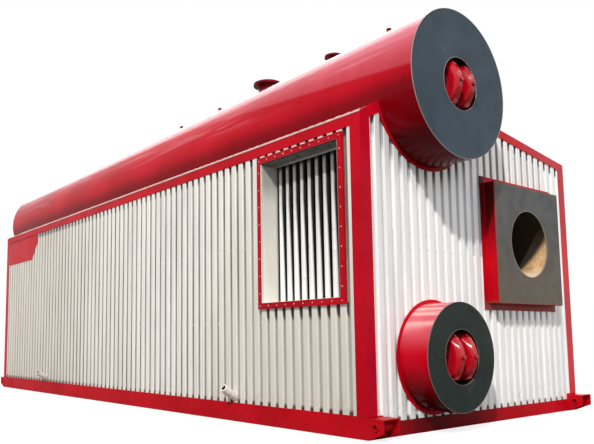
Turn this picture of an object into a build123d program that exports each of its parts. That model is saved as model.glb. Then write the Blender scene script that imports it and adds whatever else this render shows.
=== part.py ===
from build123d import *
from math import cos, radians, sin, tan
import os

# Packaged water-tube boiler on a skid: ribbed sheet casing, two long drums,
# a burner port in the front wall and a flue window in the left side.
# Millimetres, Z up. The burner end faces -Y and the flue window side faces -X.
# The origin is on the ground, under the middle of the base frame.

# Casing envelope, measured over the red trims
casing_width = 3400.0
casing_length = 8940.0
left_eave_height = 2730.0
eave_difference = 45.0
shoulder_angle = 29.2
roof_angle = 8.3
panel_thickness = 100.0
roof_thickness = 60.0
fit_gap = 0.3
overrun = 50.0

# Ribbed sheet
rib_pitch = 120.0
rib_depth = 22.0
rib_crest_share = 0.52
rib_flank_share = 0.10

# Trims
trim_thickness = 5.0
trim_width = 90.0
corner_leg = 120.0

# Base frame
beam_height = 177.0
beam_width = 195.0
beam_wall = 10.0
beam_overhang = 165.0
skid_rise = 65.0
towing_sleeve_radius = 34.0
towing_bore_radius = 22.0
towing_sleeve_proud = 8.0
towing_setback = 78.0
towing_height = 108.0
deck_thickness = 7.0
end_member_height = 125.0
cross_member_width = 75.0
cross_member_wall = 9.0
cross_member_count = 7

# Drums, with the axes at the same distance from the left side
drum_setback_share = 0.262
upper_drum_rise = 316.0
upper_drum_share = 0.198
upper_lagging = 33.0
upper_protrusion = 390.0
lower_drum_height = 646.0
lower_drum_share = 0.140
lower_lagging = 76.0
lower_protrusion = 295.0
shell_wall = 40.0
drum_ring_width = 34.0

# Drum ends and manholes
cover_thickness = 6.0
cover_opening_radius = 239.0
well_depth = 105.0
head_clearance = 5.0
manhole_width = 400.0
manhole_height = 300.0
manhole_ring_width = 34.0
manhole_ring_height = 30.0
manhole_recess = 40.0
manhole_plate_thickness = 25.0
stud_radius = 11.0
stud_reach = 197.0
stud_spacing = 180.0
yoke_length = 396.0
yoke_foot = 42.0
yoke_thickness = 50.0
yoke_shoulder = 88.0
yoke_arch = 175.0
yoke_underside = 30.0
yoke_corner_radius = 24.0

# Burner box in the front wall
burner_setback_share = 0.7005
burner_height_share = 0.6395
burner_box_size = 1207.0
burner_box_depth = 124.0
burner_box_wall = 8.0
burner_flange_width = 64.0
burner_plate_thickness = 12.0
burner_hole_radius = 342.0
burner_hole_rise = 16.0
throat_step = 6.0
throat_wall = 80.0
throat_length = 620.0

# Flue window in the left side
window_setback = 788.0
window_height_share = 0.679
window_opening_width = 1060.0
window_opening_share = 0.503
window_frame_width = 60.0
window_frame_proud = 20.0
liner_thickness = 5.0
liner_depth_share = 0.118
tube_radius = 31.0
tube_pitch = 105.0
tube_count = 10
outer_row_share = 0.51
inner_row_share = 0.77

# Nozzles on the upper drum
steam_outlet_setback = 2300.0
steam_flange_radius = 170.0
steam_flange_thickness = 26.0
steam_pipe_radius = 109.5
steam_bore_radius = 101.5
steam_height = 155.0
steam_bolt_circle = 295.0
steam_bolt_count = 12
steam_bolt_radius = 11.0
valve_setback = 1170.0
valve_flange_radius = 100.0
valve_flange_thickness = 20.0
valve_pipe_radius = 44.5
valve_bore_radius = 40.5
valve_height = 118.0
valve_bolt_circle = 160.0
valve_bolt_count = 8
valve_bolt_radius = 9.0
coupling_radius = 24.0
coupling_height = 135.0
coupling_setbacks = (400.0, 3300.0, 4250.0)

# Name plate (blank) and drain couplings on the left side
plate_front_setback = 7400.0
plate_length = 1400.0
plate_height = 390.0
plate_cut_length = 250.0
plate_cut_height = 295.0
plate_thickness = 4.0
plate_drop = 22.0
drain_setbacks = (1806.0, 6881.0)
drain_height = 240.0
drain_angle = 35.0
drain_radius = 40.0
drain_bore_radius = 26.0
drain_bore_depth = 80.0
drain_reach = 170.0

os.makedirs("parts", exist_ok=True)


def save(piece, label):
    """Label a finished piece and write it under the same name."""
    piece.part.label = label
    export_step(piece.part, f"parts/{label}.step")


# Places worked out from the driving dimensions
half_width = casing_width / 2
half_length = casing_length / 2
deck_top = beam_height + deck_thickness
right_eave_height = left_eave_height + eave_difference
drum_setback = casing_width * drum_setback_share
drum_x = drum_setback - half_width
upper_drum_height = left_eave_height + upper_drum_rise
upper_drum_radius = casing_width * upper_drum_share
upper_head_radius = upper_drum_radius - upper_lagging
lower_drum_radius = casing_width * lower_drum_share
lower_shell_radius = lower_drum_radius - lower_lagging
burner_x = casing_width * burner_setback_share - half_width
burner_height = left_eave_height * burner_height_share
port_height = burner_height + burner_hole_rise
window_height = left_eave_height * window_height_share
window_opening_height = left_eave_height * window_opening_share
window_y = window_setback - half_length
liner_depth = casing_width * liner_depth_share
crest_x = half_width - trim_thickness
crest_y = half_length - trim_thickness
inner_x = crest_x - panel_thickness
shoulder = radians(shoulder_angle)
roof = radians(roof_angle)
throat_inner_radius = burner_hole_radius + throat_step
throat_outer_radius = throat_inner_radius + throat_wall
upper_hole_radius = upper_drum_radius + fit_gap
tall = upper_drum_height + upper_drum_radius

# Planes with the local y pointing into the casing, on the crests of each wall
left_wall_plane = Plane(origin=(-crest_x, 0, deck_top), x_dir=(0, -1, 0), z_dir=(0, 0, 1))
right_wall_plane = Plane(origin=(crest_x, 0, deck_top), x_dir=(0, 1, 0), z_dir=(0, 0, 1))
front_wall_plane = Plane(origin=(0, -crest_y, deck_top), x_dir=(1, 0, 0), z_dir=(0, 0, 1))
rear_wall_plane = Plane(origin=(0, crest_y, deck_top), x_dir=(-1, 0, 0), z_dir=(0, 0, 1))

# Sloping planes on the outer faces of the trims along the two roof slopes
left_slope = Plane(
    origin=(-half_width, 0, left_eave_height),
    x_dir=(0, -1, 0),
    z_dir=(-sin(shoulder), 0, cos(shoulder)),
)
right_slope = Plane(
    origin=(half_width, 0, right_eave_height),
    x_dir=(0, 1, 0),
    z_dir=(sin(roof), 0, cos(roof)),
)
slopes = (left_slope, right_slope)

# Planes on the wall crests at the drum ends, with the local z pointing outward
front_end = Plane(origin=(drum_x, -crest_y, 0), x_dir=(1, 0, 0), z_dir=(0, -1, 0))
rear_end = Plane(origin=(drum_x, crest_y, 0), x_dir=(-1, 0, 0), z_dir=(0, 1, 0))


def ribbed_points(start, length, thickness):
    """Outline of a ribbed panel: crests on the local x axis, flat back at the thickness."""
    count = max(1, round(length / rib_pitch))
    pitch = length / count
    crest = pitch * rib_crest_share / 2
    flank = pitch * rib_flank_share
    points = [(start, 0)]
    for index in range(count):
        left = start + index * pitch
        right = left + pitch
        points.append((left + crest, 0))
        points.append((left + crest + flank, rib_depth))
        points.append((right - crest - flank, rib_depth))
        points.append((right - crest, 0))
    points.append((start + length, 0))
    points.append((start + length, thickness))
    points.append((start, thickness))
    return points


def ribbed_panel(plane, start, length, height, thickness=panel_thickness):
    """Ribbed panel standing on a plane, inside the current part."""
    with BuildSketch(plane) as profile:
        with BuildLine():
            Polyline(ribbed_points(start, length, thickness), close=True)
        make_face()
    extrude(profile.sketch, amount=height)


def cut_to_roof(depth):
    """Cut the current part to the underside of a layer below both roof slopes."""
    for slope in slopes:
        split(bisect_by=slope.offset(-depth), keep=Keep.BOTTOM)


def cut_circle(x, z, radius):
    """Cut a round way along Y through the current part."""
    with BuildSketch(Plane.XZ) as profile:
        with Locations((x, z)):
            Circle(radius)
    extrude(profile.sketch, amount=casing_length, both=True, mode=Mode.SUBTRACT)


# Base frame: two box beams, each welded from two flanges and two webs, with sloping ends
beam_tip = half_length + beam_overhang
towing_y = half_length + towing_setback


def slope_beam_ends():
    """Cut the lower corners off both ends of the current beam plates."""
    for end in (-1, 1):
        with BuildSketch(Plane.YZ) as profile:
            with BuildLine():
                Polyline((end * beam_tip, 0), (end * beam_tip, skid_rise), (end * half_length, 0), close=True)
            make_face()
        extrude(profile.sketch, amount=casing_width, both=True, mode=Mode.SUBTRACT)


for side, place in ((-1, "left"), (1, "right")):
    beam_x = side * (half_width - beam_width / 2)
    web_x = (beam_width - beam_wall) / 2
    with BuildPart() as webs:
        with BuildSketch(Plane.XY.offset(beam_wall)):
            with Locations((beam_x - web_x, 0), (beam_x + web_x, 0)):
                Rectangle(beam_wall, 2 * beam_tip)
        extrude(amount=beam_height - 2 * beam_wall)
        slope_beam_ends()
        for end in (-1, 1):
            with BuildSketch(Plane.YZ):
                with Locations((end * towing_y, towing_height)):
                    Circle(towing_sleeve_radius + fit_gap)
            extrude(amount=casing_width, both=True, mode=Mode.SUBTRACT)
    save(webs, f"base_{place}_webs")

    with BuildPart() as flanges:
        for level in (0, beam_height - beam_wall):
            with BuildSketch(Plane.XY.offset(level)):
                with Locations((beam_x, 0)):
                    Rectangle(beam_width, 2 * beam_tip)
            extrude(amount=beam_wall)
        slope_beam_ends()
    save(flanges, f"base_{place}_flanges")

# Towing sleeves through both webs at each beam end
with BuildPart() as towing_sleeves:
    for side in (-1, 1):
        inboard = side * (half_width - beam_width - towing_sleeve_proud)
        with BuildSketch(Plane.YZ.offset(inboard)):
            with Locations((-towing_y, towing_height), (towing_y, towing_height)):
                Circle(towing_sleeve_radius)
                Circle(towing_bore_radius, mode=Mode.SUBTRACT)
        extrude(amount=side * (beam_width + 2 * towing_sleeve_proud))
save(towing_sleeves, "towing_sleeves")

# Channel cross members between the beams, the end ones with their webs outward
with BuildPart() as cross_members:
    member_length = casing_width - 2 * beam_width
    member_step = (2 * crest_y - cross_member_width) / (cross_member_count - 1)
    for index in range(cross_member_count):
        middle = (index - (cross_member_count - 1) / 2) * member_step
        facing = 1 if index == cross_member_count - 1 else -1
        outer = middle + facing * cross_member_width / 2
        inner = middle - facing * cross_member_width / 2
        web = outer - facing * cross_member_wall
        at_end = index in (0, cross_member_count - 1)
        member_top = end_member_height if at_end else beam_height
        with BuildSketch(Plane.YZ):
            with BuildLine():
                Polyline(
                    (outer, 0),
                    (outer, member_top),
                    (inner, member_top),
                    (inner, member_top - cross_member_wall),
                    (web, member_top - cross_member_wall),
                    (web, cross_member_wall),
                    (inner, cross_member_wall),
                    (inner, 0),
                    close=True,
                )
            make_face()
        extrude(amount=member_length / 2, both=True)
save(cross_members, "base_cross_members")

# Deck plate, stopping short of the end walls between the beams
with BuildPart() as deck_plate:
    with BuildSketch(Plane.XY.offset(beam_height)):
        Rectangle(casing_width, 2 * crest_y)
        with Locations((0, -crest_y), (0, crest_y)):
            Rectangle(member_length, 2 * panel_thickness, mode=Mode.SUBTRACT)
    extrude(amount=deck_thickness)
save(deck_plate, "deck_plate")

# Left wall, in panels around the flue window
cutout_width = window_opening_width + 2 * liner_thickness
cutout_height = window_opening_height + 2 * liner_thickness
cutout_front = window_y - cutout_width / 2
cutout_rear = window_y + cutout_width / 2
cutout_bottom = window_height - cutout_height / 2
cutout_top = window_height + cutout_height / 2
roof_layer = trim_thickness + roof_thickness
wall_stretch = tall - deck_top

with BuildPart() as left_wall_front:
    ribbed_panel(left_wall_plane, -cutout_front, crest_y + cutout_front, wall_stretch)
    cut_to_roof(roof_layer)
save(left_wall_front, "left_wall_front")

with BuildPart() as left_wall_rear:
    ribbed_panel(left_wall_plane, -crest_y, crest_y - cutout_rear, wall_stretch)
    cut_to_roof(roof_layer)
save(left_wall_rear, "left_wall_rear")

with BuildPart() as left_wall_over_window:
    above = left_wall_plane.offset(cutout_top - deck_top)
    ribbed_panel(above, -cutout_rear, cutout_width, tall - cutout_top)
    cut_to_roof(roof_layer)
save(left_wall_over_window, "left_wall_over_window")

with BuildPart() as left_wall_under_window:
    ribbed_panel(left_wall_plane, -cutout_rear, cutout_width, cutout_bottom - deck_top)
save(left_wall_under_window, "left_wall_under_window")

with BuildPart() as right_wall:
    ribbed_panel(right_wall_plane, -crest_y, 2 * crest_y, wall_stretch)
    cut_to_roof(roof_layer)
save(right_wall, "right_wall")



def end_wall_panel(plane):
    """Ribbed end wall reaching down between the beams onto an end cross member."""
    foot = plane.offset(end_member_height - deck_top)
    ribbed_panel(foot, -inner_x, 2 * inner_x, tall - end_member_height)
    with BuildSketch(foot) as over_beams:
        with Locations((-half_width, 0), (half_width, 0)):
            Rectangle(2 * beam_width, 3 * panel_thickness)
    extrude(over_beams.sketch, amount=deck_top - end_member_height, mode=Mode.SUBTRACT)
    cut_to_roof(roof_layer)


# End walls between the side walls, cut round the drums and the burner throat
with BuildPart() as front_wall:
    end_wall_panel(front_wall_plane)
    cut_circle(drum_x, upper_drum_height, upper_hole_radius)
    cut_circle(drum_x, lower_drum_height, lower_shell_radius + fit_gap)
    cut_circle(burner_x, port_height, throat_outer_radius + fit_gap)
save(front_wall, "front_wall")

with BuildPart() as rear_wall:
    end_wall_panel(rear_wall_plane)
    cut_circle(drum_x, upper_drum_height, upper_hole_radius)
    cut_circle(drum_x, lower_drum_height, lower_shell_radius + fit_gap)
save(rear_wall, "rear_wall")

# Ribbed roof slopes, running up to the drum
for slope, label, reach in (
    (left_slope, "roof_left", drum_setback / cos(shoulder)),
    (right_slope, "roof_right", (casing_width - drum_setback) / cos(roof)),
):
    with BuildPart() as roof_sheet:
        eave = slope.offset(-trim_thickness)
        up_slope = Plane(
            origin=eave.origin,
            x_dir=eave.x_dir,
            z_dir=eave.z_dir.cross(eave.x_dir),
        )
        ribbed_panel(up_slope, -crest_y, 2 * crest_y, reach, roof_thickness)
        for side in (-1, 1):
            split(bisect_by=Plane(origin=(side * crest_x, 0, 0), z_dir=(side, 0, 0)), keep=Keep.BOTTOM)
        cut_circle(drum_x, upper_drum_height, upper_hole_radius)
    save(roof_sheet, label)

# Corner angles, standing on the deck and cut under the sloping trims
for end, label in ((-1, "corner_trims_front"), (1, "corner_trims_rear")):
    with BuildPart() as corner_trims:
        for side in (-1, 1):
            corner_x = side * half_width
            corner_y = end * half_length
            with BuildSketch(Plane.XY.offset(deck_top)):
                with BuildLine():
                    Polyline(
                        (corner_x, corner_y),
                        (corner_x - side * corner_leg, corner_y),
                        (corner_x - side * corner_leg, corner_y - end * trim_thickness),
                        (corner_x - side * trim_thickness, corner_y - end * trim_thickness),
                        (corner_x - side * trim_thickness, corner_y - end * corner_leg),
                        (corner_x, corner_y - end * corner_leg),
                        close=True,
                    )
                make_face()
            extrude(amount=wall_stretch)
        cut_to_roof(trim_width)
    save(corner_trims, label)


def slope_band(x_low, x_high, origin_x, origin_z, angle, top, bottom):
    """Outline of a band along a roof slope, between two depths below its outer face."""
    def height(x, depth):
        return origin_z + abs(x - origin_x) * tan(angle) - depth / cos(angle)

    return [
        (x_low, height(x_low, top)),
        (x_high, height(x_high, top)),
        (x_high, height(x_high, bottom)),
        (x_low, height(x_low, bottom)),
    ]


sides = (
    (-1, left_eave_height, shoulder, "left"),
    (1, right_eave_height, roof, "right"),
)

# Gable trims: sloping angles over the end walls, from the eaves to the drum
for end, label in ((-1, "gable_trims_front"), (1, "gable_trims_rear")):
    with BuildPart() as gable_trims:
        for side, eave_height, angle, _ in sides:
            edge = side * half_width
            for depth, length in ((trim_width, trim_thickness), (trim_thickness, trim_width)):
                with BuildSketch(Plane.XZ.offset(-end * half_length)):
                    with BuildLine():
                        Polyline(
                            slope_band(edge, drum_x, edge, eave_height, angle, 0, depth),
                            close=True,
                        )
                    make_face()
                extrude(amount=end * length)
        cut_circle(drum_x, upper_drum_height, upper_hole_radius)
    save(gable_trims, label)

# Eaves trims: an angle along the top of each side wall, between the gable trims
with BuildPart() as eaves_trims:
    for side, eave_height, angle, _ in sides:
        edge = side * half_width
        inside = edge - side * trim_thickness
        over = edge - side * trim_width
        with BuildSketch(Plane.XZ):
            with BuildLine():
                Polyline(
                    slope_band(edge, inside, edge, eave_height, angle, trim_thickness, trim_width),
                    close=True,
                )
            make_face()
        extrude(amount=crest_y, both=True)
        with BuildSketch(Plane.XZ):
            with BuildLine():
                Polyline(
                    slope_band(edge, over, edge, eave_height, angle, 0, trim_thickness),
                    close=True,
                )
            make_face()
        extrude(amount=half_length - trim_width, both=True)
save(eaves_trims, "eaves_trims")

# Rings round both drums where they leave an end wall, the upper one cut under the gable trims
drums = (
    ("upper", upper_drum_height, upper_drum_radius, upper_head_radius, upper_protrusion),
    ("lower", lower_drum_height, lower_drum_radius, lower_shell_radius, lower_protrusion),
)
for end_plane, place in ((front_end, "front"), (rear_end, "rear")):
    with BuildPart() as drum_rings:
        for _, height, radius, _, _ in drums:
            with BuildSketch(end_plane):
                with Locations((0, height)):
                    Circle(radius + drum_ring_width)
                    Circle(radius + fit_gap, mode=Mode.SUBTRACT)
            extrude(amount=trim_thickness)
        cut_to_roof(trim_width)
    save(drum_rings, f"drum_rings_{place}")

# Drum shells, closed at the end walls by dished heads
shells = (
    ("upper_drum_shell", upper_drum_height, upper_drum_radius),
    ("lower_drum_shell", lower_drum_height, lower_shell_radius),
)
for label, height, radius in shells:
    with BuildPart() as shell:
        with BuildSketch(Plane.XZ):
            with Locations((drum_x, height)):
                Circle(radius)
                Circle(radius - shell_wall, mode=Mode.SUBTRACT)
        extrude(amount=crest_y, both=True)
    save(shell, label)

# Drum ends, front and rear: lagging, end covers, dished heads, manhole plates and yokes
for name, height, radius, head_radius, protrusion in drums:
    reach = protrusion + trim_thickness
    ring_face = reach - well_depth
    crown = ring_face - manhole_ring_height
    bases = [
        Plane(origin=end.origin + end.y_dir * height, x_dir=end.x_dir, z_dir=end.z_dir)
        for end in (front_end, rear_end)
    ]

    with BuildPart() as sleeves:
        for base in bases:
            with BuildSketch(base):
                Circle(radius)
                Circle(head_radius + head_clearance, mode=Mode.SUBTRACT)
            extrude(amount=crown)
    save(sleeves, f"{name}_lagging_sleeves")

    with BuildPart() as blocks:
        for base in bases:
            with BuildSketch(base.offset(crown)):
                Circle(radius)
                Circle(cover_opening_radius, mode=Mode.SUBTRACT)
            extrude(amount=reach - cover_thickness - crown)
    save(blocks, f"{name}_lagging_blocks")

    with BuildPart() as covers:
        for base in bases:
            with BuildSketch(base.offset(reach - cover_thickness)):
                Circle(radius)
                Circle(cover_opening_radius, mode=Mode.SUBTRACT)
            extrude(amount=cover_thickness)
    save(covers, f"{name}_end_covers")

    with BuildPart() as heads:
        dish_radius = (head_radius**2 + crown**2) / (2 * crown)
        for base in bases:
            with BuildSketch(Plane(origin=base.origin, x_dir=base.x_dir, z_dir=-base.y_dir)):
                with BuildLine():
                    RadiusArc((0, crown), (head_radius, 0), dish_radius)
                    Line((head_radius, 0), (0, 0))
                    Line((0, 0), (0, crown))
                make_face()
            revolve(axis=Axis(base.origin, base.z_dir))
            with BuildSketch(base.offset(crown - manhole_recess)):
                Ellipse(manhole_width / 2 + manhole_ring_width, manhole_height / 2 + manhole_ring_width)
            extrude(amount=manhole_recess + manhole_ring_height)
            with BuildSketch(base.offset(ring_face)):
                Ellipse(manhole_width / 2, manhole_height / 2)
            extrude(amount=-manhole_recess, mode=Mode.SUBTRACT)
    save(heads, f"{name}_heads")

    with BuildPart() as manhole_plates:
        for base in bases:
            with BuildSketch(base.offset(ring_face - manhole_recess)):
                Ellipse(manhole_width / 2 - fit_gap, manhole_height / 2 - fit_gap)
            extrude(amount=manhole_plate_thickness)
            with BuildSketch(base.offset(ring_face - manhole_recess)):
                with GridLocations(stud_spacing, 0, 2, 1):
                    Circle(stud_radius)
            extrude(amount=manhole_recess + stud_reach)
    save(manhole_plates, f"{name}_manhole_plates")

    with BuildPart() as yokes:
        for base in bases:
            for side in (-1, 1):
                stud_line = base.origin + base.x_dir * (side * stud_spacing / 2)
                with BuildSketch(Plane(origin=stud_line, x_dir=base.y_dir, z_dir=base.x_dir)):
                    with BuildLine():
                        heel = yoke_length / 2
                        toe = heel - yoke_foot
                        tip = ring_face + yoke_shoulder
                        ThreePointArc((-heel, tip), (0, ring_face + yoke_arch), (heel, tip))
                        Polyline((heel, tip), (heel, ring_face), (toe, ring_face))
                        ThreePointArc((toe, ring_face), (0, ring_face + yoke_underside), (-toe, ring_face))
                        Polyline((-toe, ring_face), (-heel, ring_face), (-heel, tip))
                    make_face()
                    tips = [corner for corner in vertices() if corner.Y > ring_face and abs(corner.X) > toe]
                    fillet(tips, yoke_corner_radius)
                extrude(amount=yoke_thickness / 2, both=True)
            with BuildSketch(base.offset(ring_face)):
                with GridLocations(stud_spacing, 0, 2, 1):
                    Circle(stud_radius + fit_gap)
            extrude(amount=yoke_arch + overrun, mode=Mode.SUBTRACT)
    save(yokes, f"{name}_yokes")

# Burner box: welded flange and four sides, closed by a plate with the burner port
burner_plane = Plane(origin=(burner_x, -crest_y, burner_height), x_dir=(1, 0, 0), z_dir=(0, -1, 0))
burner_reach = burner_box_depth + trim_thickness
burner_side_length = burner_reach - burner_plate_thickness

with BuildPart() as burner_box:
    with BuildSketch(burner_plane):
        Rectangle(burner_box_size, burner_box_size)
        Rectangle(
            burner_box_size - 2 * burner_box_wall,
            burner_box_size - 2 * burner_box_wall,
            mode=Mode.SUBTRACT,
        )
    extrude(amount=burner_side_length)
    with BuildSketch(burner_plane):
        flange_size = burner_box_size + 2 * burner_flange_width
        Rectangle(flange_size, flange_size)
        Rectangle(burner_box_size, burner_box_size, mode=Mode.SUBTRACT)
    extrude(amount=burner_box_wall)
save(burner_box, "burner_box")

with BuildPart() as burner_plate:
    with BuildSketch(burner_plane.offset(burner_side_length)):
        Rectangle(burner_box_size, burner_box_size)
        with Locations((0, burner_hole_rise)):
            Circle(burner_hole_radius, mode=Mode.SUBTRACT)
    extrude(amount=burner_plate_thickness)
save(burner_plate, "burner_plate")

with BuildPart() as burner_throat:
    with BuildSketch(burner_plane.offset(burner_side_length)):
        with Locations((0, burner_hole_rise)):
            Circle(throat_outer_radius)
            Circle(throat_inner_radius, mode=Mode.SUBTRACT)
    extrude(amount=-throat_length)
save(burner_throat, "burner_throat")

# Flue window: frame on the crests, sheet liner and two rows of water tubes
window_plane = Plane(origin=(-crest_x, window_y, window_height), x_dir=(0, -1, 0), z_dir=(-1, 0, 0))

with BuildPart() as window_frame:
    with BuildSketch(window_plane):
        Rectangle(
            window_opening_width + 2 * window_frame_width,
            window_opening_height + 2 * window_frame_width,
        )
        Rectangle(window_opening_width, window_opening_height, mode=Mode.SUBTRACT)
    extrude(amount=trim_thickness + window_frame_proud)
save(window_frame, "flue_window_frame")

with BuildPart() as flue_liner:
    with BuildSketch(window_plane):
        Rectangle(cutout_width, cutout_height)
    extrude(amount=-liner_depth - liner_thickness)
    with BuildSketch(window_plane):
        Rectangle(window_opening_width, window_opening_height)
    extrude(amount=-liner_depth, mode=Mode.SUBTRACT)
save(flue_liner, "flue_liner")

for share, label in ((outer_row_share, "tube_row_outer"), (inner_row_share, "tube_row_inner")):
    with BuildPart() as tube_row:
        floor_plane = Plane.XY.offset(window_height - window_opening_height / 2)
        with BuildSketch(floor_plane):
            with Locations((liner_depth * share - crest_x, window_y)):
                with GridLocations(0, tube_pitch, 1, tube_count):
                    Circle(tube_radius)
        extrude(amount=window_opening_height)
    save(tube_row, label)

# Flanged nozzles and plugged couplings on the upper drum, cut to its curve
drum_top = upper_drum_height + upper_drum_radius


def flanged_nozzle(setback, top, pipe, bore, flange, thickness, circle, count, hole):
    """Flanged pipe standing on the upper drum, inside the current part."""
    foot = Plane(origin=(drum_x, setback - half_length, drum_top - pipe))
    with BuildSketch(foot) as pipe_profile:
        Circle(pipe)
    extrude(pipe_profile.sketch, amount=pipe + top)
    with BuildSketch(foot.offset(pipe + top - thickness)) as flange_profile:
        Circle(flange)
    extrude(flange_profile.sketch, amount=thickness)
    with BuildSketch(foot) as bore_profile:
        Circle(bore)
    extrude(bore_profile.sketch, amount=pipe + top, mode=Mode.SUBTRACT)
    with BuildSketch(foot.offset(pipe + top)) as bolt_profile:
        with PolarLocations(circle / 2, count):
            Circle(hole)
    extrude(bolt_profile.sketch, amount=-thickness, mode=Mode.SUBTRACT)
    cut_circle(drum_x, upper_drum_height, upper_hole_radius)


with BuildPart() as steam_outlet:
    flanged_nozzle(
        steam_outlet_setback, steam_height, steam_pipe_radius, steam_bore_radius,
        steam_flange_radius, steam_flange_thickness,
        steam_bolt_circle, steam_bolt_count, steam_bolt_radius,
    )
save(steam_outlet, "steam_outlet_nozzle")

with BuildPart() as valve_nozzle:
    flanged_nozzle(
        valve_setback, valve_height, valve_pipe_radius, valve_bore_radius,
        valve_flange_radius, valve_flange_thickness,
        valve_bolt_circle, valve_bolt_count, valve_bolt_radius,
    )
save(valve_nozzle, "safety_valve_nozzle")

with BuildPart() as couplings:
    for setback in coupling_setbacks:
        with BuildSketch(Plane(origin=(drum_x, setback - half_length, drum_top - coupling_radius))):
            Circle(coupling_radius)
        extrude(amount=coupling_radius + coupling_height)
    cut_circle(drum_x, upper_drum_height, upper_hole_radius)
save(couplings, "drum_couplings")

# Blank name plate under the left eaves trim, with its lower front corner cut off
with BuildPart() as name_plate:
    plate_top = left_eave_height - trim_width / cos(shoulder) - plate_drop
    plate_bottom = plate_top - plate_height
    plate_front = plate_front_setback - half_length
    with BuildSketch(Plane(origin=(-crest_x, 0, 0), x_dir=(0, -1, 0), z_dir=(-1, 0, 0))):
        with BuildLine():
            Polyline(
                (-plate_front, plate_top),
                (-plate_front, plate_bottom + plate_cut_height),
                (-plate_front - plate_cut_length, plate_bottom),
                (-plate_front - plate_length, plate_bottom),
                (-plate_front - plate_length, plate_top),
                close=True,
            )
        make_face()
    extrude(amount=plate_thickness)
save(name_plate, "name_plate")

# Drain couplings low on the left side, leaning outward and up from the wall crests
with BuildPart() as drains:
    lean = radians(drain_angle)
    for setback in drain_setbacks:
        seat = Plane(
            origin=(-crest_x, setback - half_length, drain_height),
            x_dir=(0, 1, 0),
            z_dir=(-cos(lean), 0, sin(lean)),
        )
        with BuildSketch(seat.offset(-drain_radius)):
            Circle(drain_radius)
        extrude(amount=drain_radius + drain_reach)
        with BuildSketch(seat.offset(drain_reach)):
            Circle(drain_bore_radius)
        extrude(amount=-drain_bore_depth, mode=Mode.SUBTRACT)
    split(bisect_by=Plane(origin=(-crest_x, 0, 0), z_dir=(-1, 0, 0)), keep=Keep.TOP)
save(drains, "drain_couplings")
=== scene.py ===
import random
from math import cos, pi, radians, sin, sqrt, tan

import bpy
from mathutils import Matrix, Vector


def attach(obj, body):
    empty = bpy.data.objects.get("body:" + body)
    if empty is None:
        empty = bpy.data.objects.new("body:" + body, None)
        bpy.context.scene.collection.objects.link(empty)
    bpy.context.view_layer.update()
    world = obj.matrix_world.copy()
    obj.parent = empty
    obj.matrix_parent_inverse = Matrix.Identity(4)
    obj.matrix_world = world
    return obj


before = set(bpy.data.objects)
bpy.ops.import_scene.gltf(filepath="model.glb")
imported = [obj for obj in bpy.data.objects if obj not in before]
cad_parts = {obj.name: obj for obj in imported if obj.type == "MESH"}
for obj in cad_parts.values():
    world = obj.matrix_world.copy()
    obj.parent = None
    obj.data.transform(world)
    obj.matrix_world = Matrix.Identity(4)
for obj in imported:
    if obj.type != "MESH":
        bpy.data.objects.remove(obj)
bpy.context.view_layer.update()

# Places and sizes repeated from the part, in metres
HALF_WIDTH, HALF_LENGTH = 1.700, 4.470
CREST_X, CREST_Y = 1.695, 4.465
RIB_DEPTH = 0.022
SIDE_RIBS, SIDE_RIBS_BEHIND_WINDOW, END_RIBS = 74, 63, 27
END_RIBS_HALF = 1.595
DECK_TOP = 0.184
SKIRT_FOOT = 0.125
RING_WIDTH = 0.034
TRIM_WIDTH, TRIM_DROP = 0.090, 0.103
EAVE_LEFT, EAVE_RIGHT = 2.730, 2.775
SHOULDER, ROOF = radians(29.2), radians(8.3)
DRUM_X = -0.8092
UPPER_Z, UPPER_R, UPPER_OUT = 3.046, 0.6732, 0.395
LOWER_Z, LOWER_R, LOWER_OUT = 0.646, 0.476, 0.300
DRUMS = ((UPPER_Z, UPPER_R, UPPER_OUT), (LOWER_Z, LOWER_R, LOWER_OUT))
OPENING_R = 0.239
YOKE_OFF_X, YOKE_FACE = 0.090, 0.0695
YOKE_FOOT, YOKE_HALF_HEIGHT, YOKE_ARCH, YOKE_CROWN = 0.105, 0.198, 0.150, 0.178
BURNER_X, BURNER_Z, PORT_Z = 0.6817, 1.7458, 1.7618
BURNER_HALF, BURNER_HOLE = 0.6035, 0.342
BURNER_PLATE_BACK = 0.112
WINDOW_Y, WINDOW_Z = -3.682, 1.8537
WINDOW_HALF_W, WINDOW_HALF_H = 0.530, 0.6866
WINDOW_BAR = 0.058
FRAME_FACE_X = -HALF_WIDTH - 0.020
RECESS_TOP = WINDOW_Z + WINDOW_HALF_H
PLATE_FRONT, PLATE_LENGTH, PLATE_THICK, PLATE_DROP = 2.93, 1.40, 0.004, 0.022
TOWING_Y, TOWING_Z, TOWING_R = 4.548, 0.108, 0.034
STUBS_Y, STUB_FOOT_Z, STUB_R, STUB_LEAN = (-2.664, 2.411), 0.240, 0.041, radians(35.0)
STUB_END_X, STUB_END_Z = -1.834, 0.3375
DRUM_FITTINGS = ((-2.17, 0.1095), (-3.30, 0.0445), (-4.07, 0.024), (-1.17, 0.024), (-0.22, 0.024))

# Lines that the looks follow: the height where they change from one drum's to the other's, the depth
# behind the crests where the panels turn dark with painted shade, the edge of the painted shadow of the
# upper drum on the front wall, and the edge of the painted reflection along that drum
BETWEEN_DRUMS = (1.60, 1.61)
DARK_INSIDE = 0.060
DRUM_SHADOW_SLOPE, DRUM_SHADOW_LEVEL = 0.69, 1.51
REFLECTION_EDGE_SLOPE, REFLECTION_EDGE_LEVEL = -0.137, -0.687

# Camera, solved from the photo
CAMERA_PLACE = Vector((-5.7969, -8.2522, 0.8267))
AZIMUTH, ELEVATION, ROLL = radians(38.7504), radians(5.9951), radians(-0.6586)
IMAGE_WIDTH, IMAGE_HEIGHT = 594, 444
FOCAL_PX, CENTRE_U, CENTRE_V = 674.2056, 262.88, 267.52
SENSOR_WIDTH = 36.0

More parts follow.
